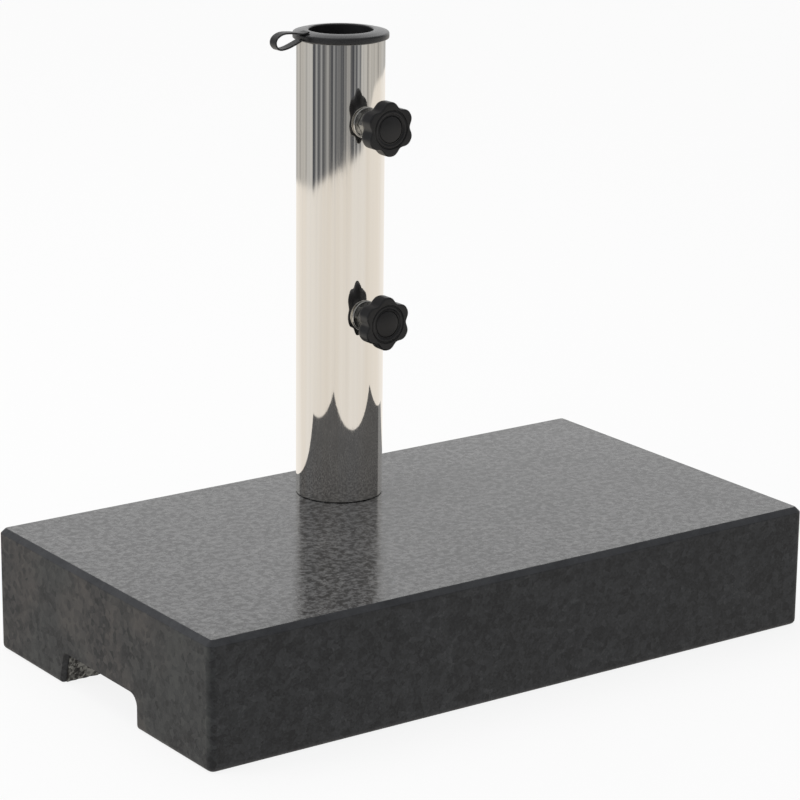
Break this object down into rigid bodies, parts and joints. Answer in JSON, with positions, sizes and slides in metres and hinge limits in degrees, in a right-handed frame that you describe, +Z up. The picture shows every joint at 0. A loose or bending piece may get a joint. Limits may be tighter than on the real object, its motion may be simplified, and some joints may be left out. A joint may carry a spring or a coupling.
{
  "type": "parasol base",
  "caption": "Rectangular granite block with a polished steel tube for a parasol pole, clamped by star knobs on side screws, with a lift-out reducer collar at the top.",
  "frame": {"origin": "middle of the granite block's underside, on the surface that it stands on", "axes": "+X along the block's long side, -Y towards the side that the clamp screws face, +Z up along the tube"},
  "size_m": [0.45, 0.25, 0.3841],
  "materials": {
    "granite": "fine-grained dark granite, honed top, sawn sides, rough-cut grips",
    "polished_steel": "mirror-polished stainless steel",
    "zinc_steel": "zinc-plated steel",
    "collar_plastic": "satin black moulding",
    "strap_plastic": "soft black moulding",
    "knob_plastic": "satin black moulding",
    "nylon": "plain white nylon"
  },
  "bodies": {
    "base": {"granite_block": "granite", "upright_tube": "polished_steel", "foot_disc": "zinc_steel", "tube_bolt": "zinc_steel", "wide_washer": "zinc_steel", "lock_washer": "zinc_steel", "lower_clamp_washer": "zinc_steel", "lower_clamp_nut": "zinc_steel", "upper_clamp_washer": "zinc_steel", "upper_clamp_nut": "zinc_steel"},
    "collar": {"reducer_collar": "collar_plastic", "collar_strap": "strap_plastic"},
    "lower_pad": {"lower_pressure_pad": "nylon"},
    "lower_screw": {"lower_clamp_stud": "zinc_steel", "lower_knob": "knob_plastic", "lower_knob_cap": "knob_plastic"},
    "upper_pad": {"upper_pressure_pad": "nylon"},
    "upper_screw": {"upper_clamp_stud": "zinc_steel", "upper_knob": "knob_plastic", "upper_knob_cap": "knob_plastic"}
  },
  "joints": [
    {"name": "collar_lift", "type": "slide", "parent": "base", "child": "collar", "axis": [0, 0, 1], "range_m": [0, 0.045]},
    {"name": "lower_pad_slide", "type": "slide", "parent": "base", "child": "lower_pad", "axis": [0, 1, 0], "range_m": [-0.0075, 0]},
    {"name": "lower_screw_turn", "type": "hinge", "parent": "lower_pad", "child": "lower_screw", "pos_m": [-0.004, 0.0331, 0.2033], "axis": [0, 1, 0], "range_deg": [-2160, 0]},
    {"name": "upper_pad_slide", "type": "slide", "parent": "base", "child": "upper_pad", "axis": [0, 1, 0], "range_m": [-0.00625, 0.00187]},
    {"name": "upper_screw_turn", "type": "hinge", "parent": "upper_pad", "child": "upper_screw", "pos_m": [-0.004, 0.0312, 0.3275], "axis": [0, 1, 0], "range_deg": [-1800, 540]}
  ],
  "couplings": [
    {"joint": "lower_pad_slide", "follows": "lower_screw_turn", "m_per_rad": 0.00019894},
    {"joint": "upper_pad_slide", "follows": "upper_screw_turn", "m_per_rad": 0.00019894}
  ]
}
